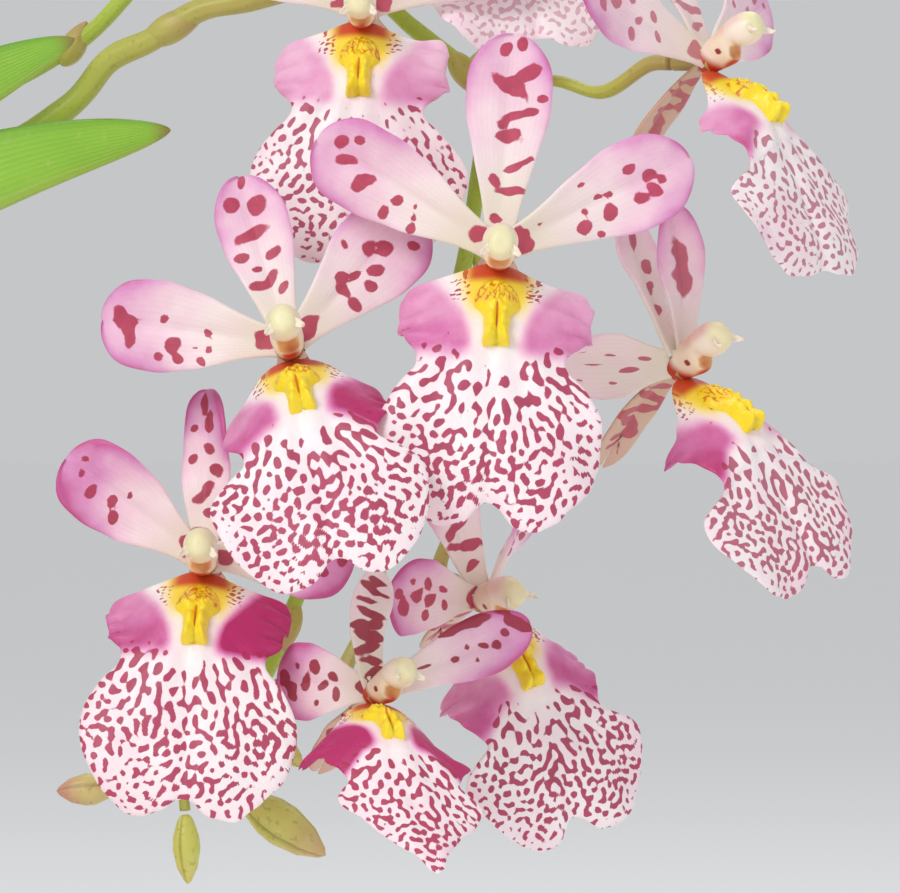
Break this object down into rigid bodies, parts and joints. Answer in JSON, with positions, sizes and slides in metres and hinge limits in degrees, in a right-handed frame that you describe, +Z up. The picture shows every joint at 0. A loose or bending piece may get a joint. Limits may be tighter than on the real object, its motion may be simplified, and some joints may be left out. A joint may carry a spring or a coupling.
{
  "type": "potted tolumnia orchid",
  "caption": "Potted orchid: clay pot of bark, fans of fleshy leaves and an arching stem that carries a hanging spray of spotted pansy-lipped blooms and buds.",
  "frame": {"origin": "middle of the pot's underside, where it stands on a shelf", "axes": "+Z up, the blooms face -Y, and the spray hangs out to +X of the pot"},
  "size_m": [0.1483, 0.07, 0.1253],
  "materials": {
    "clay": "unglazed terracotta, dry and slightly porous",
    "bark": "rough pine bark chips",
    "root": "silvery, spongy root skin with green tips",
    "leaf": "fleshy leaf with a waxy sheen",
    "stem": "smooth green to olive yellow stem",
    "bud": "smooth green bud flushed tan and pink",
    "petal": "soft satin petals, white and pink with crimson spots"
  },
  "bodies": {
    "root": {"pot": "clay", "potting_mix": "bark", "rhizome_and_roots": "root", "leaf_fan_1": "leaf", "leaf_fan_2": "leaf", "leaf_fan_3": "leaf", "flower_stem": "stem", "young_spike": "stem", "bud_1": "bud", "bud_2": "bud", "bud_3": "bud", "bud_4": "bud", "bloom_1": "petal", "bloom_2": "petal", "bloom_3": "petal", "bloom_4": "petal", "bloom_5": "petal", "bloom_6": "petal", "bloom_7": "petal", "bloom_8": "petal", "bloom_9": "petal"}
  },
  "joints": []
}
